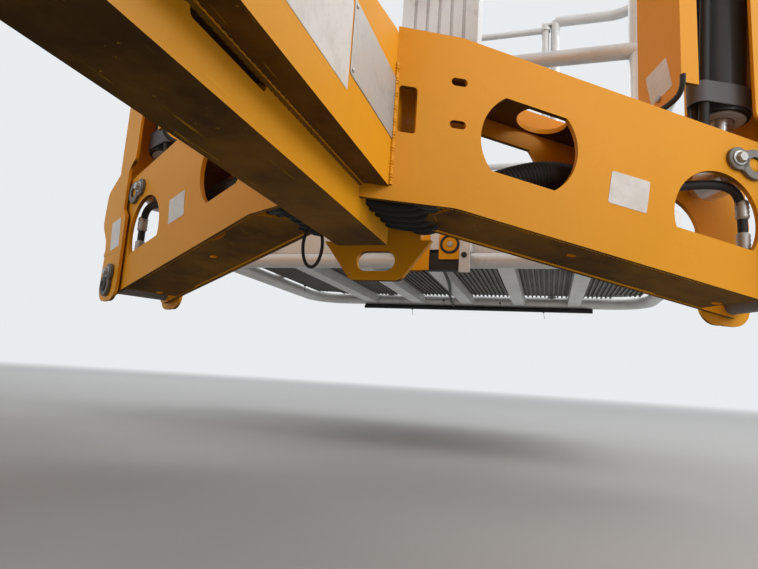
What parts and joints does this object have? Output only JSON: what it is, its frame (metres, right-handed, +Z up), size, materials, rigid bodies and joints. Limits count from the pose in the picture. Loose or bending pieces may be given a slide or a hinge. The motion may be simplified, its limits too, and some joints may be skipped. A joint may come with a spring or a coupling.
{
  "type": "towable articulating boom lift",
  "caption": "Trailer-mounted articulating boom lift: wheeled frame with folding outriggers, slewing turntable, riser, knuckle, telescoping boom and railed work platform.",
  "frame": {"origin": "middle of the machine's length and width, on the ground", "axes": "+X forwards to the coupler, +Y to the machine's left, +Z up"},
  "size_m": [5.702, 1.55, 1.875],
  "materials": {
    "orange": "weathered orange paint, dusty",
    "grey_aluminium": "mill finish, dull",
    "black_paint": "satin black paint",
    "cylinder_grey": "grey-black paint on steel barrels",
    "chrome_rod": "hard chrome",
    "zinc": "zinc plated, dulled",
    "white_rim": "white painted steel rim",
    "tyre": "road tyre",
    "dark_steel": "dark phosphated steel",
    "red_lens": "red lamp lens in a black ring",
    "grey_plastic": "moulded grey plastic",
    "cover_plastic": "moulded covers in the machine's orange",
    "battery": "four wet batteries as one mass"
  },
  "bodies": {
    "chassis": {"spine_box": "orange", "lower_tube": "orange", "drawbar": "orange", "outrigger_beam_rear_left": "orange", "outrigger_beam_rear_right": "orange", "outrigger_beam_front_left": "orange", "outrigger_beam_front_right": "orange", "outrigger_pins": "dark_steel", "rear_bracket": "orange", "axle": "black_paint", "fender_left": "black_paint", "fender_right": "black_paint", "slew_base": "orange", "boom_rest": "orange", "coupler": "zinc", "jack_housing": "zinc", "tail_lamps": "red_lens"},
    "wheel_left": {"tyre_left": "tyre", "rim_left": "white_rim"},
    "wheel_right": {"tyre_right": "tyre", "rim_right": "white_rim"},
    "jack": {"jack_leg": "zinc"},
    "turntable": {"turntable_frame": "orange", "turntable_pins": "dark_steel", "cover_left": "cover_plastic", "cover_right": "cover_plastic", "battery_block": "battery", "ground_controls": "grey_plastic"},
    "riser": {"riser_boom": "orange"},
    "ties": {"tie_bars": "orange"},
    "knuckle": {"knuckle": "orange"},
    "riser_barrel": {"riser_barrel": "cylinder_grey"},
    "riser_rod": {"riser_rod": "chrome_rod"},
    "boom": {"upper_boom": "orange"},
    "luff_barrel": {"luff_barrel": "cylinder_grey"},
    "luff_rod": {"luff_rod": "chrome_rod"},
    "fly": {"fly_boom": "orange"},
    "platform": {"mast_column": "grey_aluminium", "mast_head": "orange", "platform_frame": "grey_aluminium", "platform_floor": "grey_aluminium", "platform_rails": "grey_aluminium", "toe_boards": "grey_aluminium", "platform_controls": "grey_plastic"},
    "gate": {"gate": "grey_aluminium"},
    "leg_rear_left": {"outrigger_leg_rear_left": "orange"},
    "strut_barrel_rear_left": {"leg_barrel_rear_left": "cylinder_grey"},
    "strut_rod_rear_left": {"leg_rod_rear_left": "chrome_rod"},
    "leg_rear_right": {"outrigger_leg_rear_right": "orange"},
    "strut_barrel_rear_right": {"leg_barrel_rear_right": "cylinder_grey"},
    "strut_rod_rear_right": {"leg_rod_rear_right": "chrome_rod"},
    "leg_front_left": {"outrigger_leg_front_left": "orange"},
    "strut_barrel_front_left": {"leg_barrel_front_left": "cylinder_grey"},
    "strut_rod_front_left": {"leg_rod_front_left": "chrome_rod"},
    "leg_front_right": {"outrigger_leg_front_right": "orange"},
    "strut_barrel_front_right": {"leg_barrel_front_right": "cylinder_grey"},
    "strut_rod_front_right": {"leg_rod_front_right": "chrome_rod"}
  },
  "joints": [
    {"name": "wheel_left_spin", "type": "hinge", "parent": "chassis", "child": "wheel_left", "pos_m": [-0.659, 0.645, 0.331], "axis": [0, 1, 0], "continuous": true},
    {"name": "wheel_right_spin", "type": "hinge", "parent": "chassis", "child": "wheel_right", "pos_m": [-0.659, -0.645, 0.331], "axis": [0, 1, 0], "continuous": true},
    {"name": "tongue_jack", "type": "slide", "parent": "chassis", "child": "jack", "axis": [0, 0, 1], "range_m": [0, 0.25]},
    {"name": "leg_rear_left_swing", "type": "hinge", "parent": "chassis", "child": "leg_rear_left", "pos_m": [-1.86301, 0.6123, 0.321], "axis": [-0.8788, -0.4772, 0], "range_deg": [0, 105]},
    {"name": "strut_rear_left_turn", "type": "hinge", "parent": "leg_rear_left", "child": "strut_barrel_rear_left", "pos_m": [-1.84631, 0.58154, 1.178], "axis": [-0.8788, -0.4772, 0], "range_deg": [-1, 8]},
    {"name": "strut_rear_left_stroke", "type": "slide", "parent": "strut_barrel_rear_left", "child": "strut_rod_rear_left", "axis": [0.0239, -0.0441, -0.9987], "range_m": [0, 0.3287]},
    {"name": "leg_rear_right_swing", "type": "hinge", "parent": "chassis", "child": "leg_rear_right", "pos_m": [-1.86301, -0.6123, 0.321], "axis": [0.8788, -0.4772, 0], "range_deg": [0, 105]},
    {"name": "strut_rear_right_turn", "type": "hinge", "parent": "leg_rear_right", "child": "strut_barrel_rear_right", "pos_m": [-1.84631, -0.58154, 1.178], "axis": [0.8788, -0.4772, 0], "range_deg": [-1, 8]},
    {"name": "strut_rear_right_stroke", "type": "slide", "parent": "strut_barrel_rear_right", "child": "strut_rod_rear_right", "axis": [0.0239, 0.0441, -0.9987], "range_m": [0, 0.3287]},
    {"name": "leg_front_left_swing", "type": "hinge", "parent": "chassis", "child": "leg_front_left", "pos_m": [0.66501, 0.6123, 0.321], "axis": [-0.8788, 0.4772, 0], "range_deg": [0, 105]},
    {"name": "strut_front_left_turn", "type": "hinge", "parent": "leg_front_left", "child": "strut_barrel_front_left", "pos_m": [0.64831, 0.58154, 1.178], "axis": [-0.8788, 0.4772, 0], "range_deg": [-1, 8]},
    {"name": "strut_front_left_stroke", "type": "slide", "parent": "strut_barrel_front_left", "child": "strut_rod_front_left", "axis": [-0.0239, -0.0441, -0.9987], "range_m": [0, 0.3287]},
    {"name": "leg_front_right_swing", "type": "hinge", "parent": "chassis", "child": "leg_front_right", "pos_m": [0.66501, -0.6123, 0.321], "axis": [0.8788, 0.4772, 0], "range_deg": [0, 105]},
    {"name": "strut_front_right_turn", "type": "hinge", "parent": "leg_front_right", "child": "strut_barrel_front_right", "pos_m": [0.64831, -0.58154, 1.178], "axis": [0.8788, 0.4772, 0], "range_deg": [-1, 8]},
    {"name": "strut_front_right_stroke", "type": "slide", "parent": "strut_barrel_front_right", "child": "strut_rod_front_right", "axis": [-0.0239, 0.0441, -0.9987], "range_m": [0, 0.3287]},
    {"name": "slew", "type": "hinge", "parent": "chassis", "child": "turntable", "pos_m": [-0.599, 0, 0.591], "axis": [0, 0, 1], "range_deg": [-179.5, 179.5]},
    {"name": "riser_lift", "type": "hinge", "parent": "turntable", "child": "riser", "pos_m": [-0.949, 0, 1.38], "axis": [0, -1, 0], "range_deg": [0, 70]},
    {"name": "tie_swing", "type": "hinge", "parent": "turntable", "child": "ties", "pos_m": [-1.049, 0, 1.55], "axis": [0, -1, 0], "range_deg": [0, 71]},
    {"name": "knuckle_level", "type": "hinge", "parent": "riser", "child": "knuckle", "pos_m": [1.601, 0, 1.38], "axis": [0, -1, 0], "range_deg": [-71, 0]},
    {"name": "riser_barrel_turn", "type": "hinge", "parent": "turntable", "child": "riser_barrel", "pos_m": [-0.899, 0, 0.83], "axis": [0, -1, 0], "range_deg": [-1, 46.23]},
    {"name": "riser_stroke", "type": "slide", "parent": "riser_barrel", "child": "riser_rod", "axis": [0.8675, 0, 0.4974], "range_m": [0, 0.4423]},
    {"name": "boom_luff", "type": "hinge", "parent": "knuckle", "child": "boom", "pos_m": [1.601, 0, 1.8], "axis": [0, 1, 0], "range_deg": [0, 75]},
    {"name": "luff_barrel_turn", "type": "hinge", "parent": "knuckle", "child": "luff_barrel", "pos_m": [1.501, 0, 1.623], "axis": [0, 1, 0], "range_deg": [-1, 72.28]},
    {"name": "luff_stroke", "type": "slide", "parent": "luff_barrel", "child": "luff_rod", "axis": [-0.9953, 0, 0.0965], "range_m": [0, 0.2445]},
    {"name": "telescope", "type": "slide", "parent": "boom", "child": "fly", "axis": [-1, 0, 0], "range_m": [0, 2.4]},
    {"name": "platform_level", "type": "hinge", "parent": "fly", "child": "platform", "pos_m": [-2.099, 0, 1.8], "axis": [0, 1, 0], "range_deg": [-76, 0]},
    {"name": "gate_swing", "type": "hinge", "parent": "platform", "child": "gate", "pos_m": [-2.832, 0.254, 1], "axis": [0, 0, 1], "range_deg": [0, 90]}
  ],
  "couplings": [
    {"joint": "strut_rear_left_turn", "follows": "leg_rear_left_swing", "ratio": 0.050801},
    {"joint": "strut_rear_left_stroke", "follows": "leg_rear_left_swing", "m_per_rad": 0.17828},
    {"joint": "strut_rear_right_turn", "follows": "leg_rear_right_swing", "ratio": 0.050801},
    {"joint": "strut_rear_right_stroke", "follows": "leg_rear_right_swing", "m_per_rad": 0.17828},
    {"joint": "strut_front_left_turn", "follows": "leg_front_left_swing", "ratio": 0.050801},
    {"joint": "strut_front_left_stroke", "follows": "leg_front_left_swing", "m_per_rad": 0.17828},
    {"joint": "strut_front_right_turn", "follows": "leg_front_right_swing", "ratio": 0.050801},
    {"joint": "strut_front_right_stroke", "follows": "leg_front_right_swing", "m_per_rad": 0.17828},
    {"joint": "tie_swing", "follows": "riser_lift", "ratio": 1},
    {"joint": "knuckle_level", "follows": "riser_lift", "ratio": -1},
    {"joint": "riser_barrel_turn", "follows": "riser_lift", "ratio": 0.64619},
    {"joint": "riser_stroke", "follows": "riser_lift", "m_per_rad": 0.36039},
    {"joint": "luff_barrel_turn", "follows": "boom_luff", "ratio": 0.95042},
    {"joint": "luff_stroke", "follows": "boom_luff", "m_per_rad": 0.18525},
    {"joint": "platform_level", "follows": "boom_luff", "ratio": -1}
  ]
}
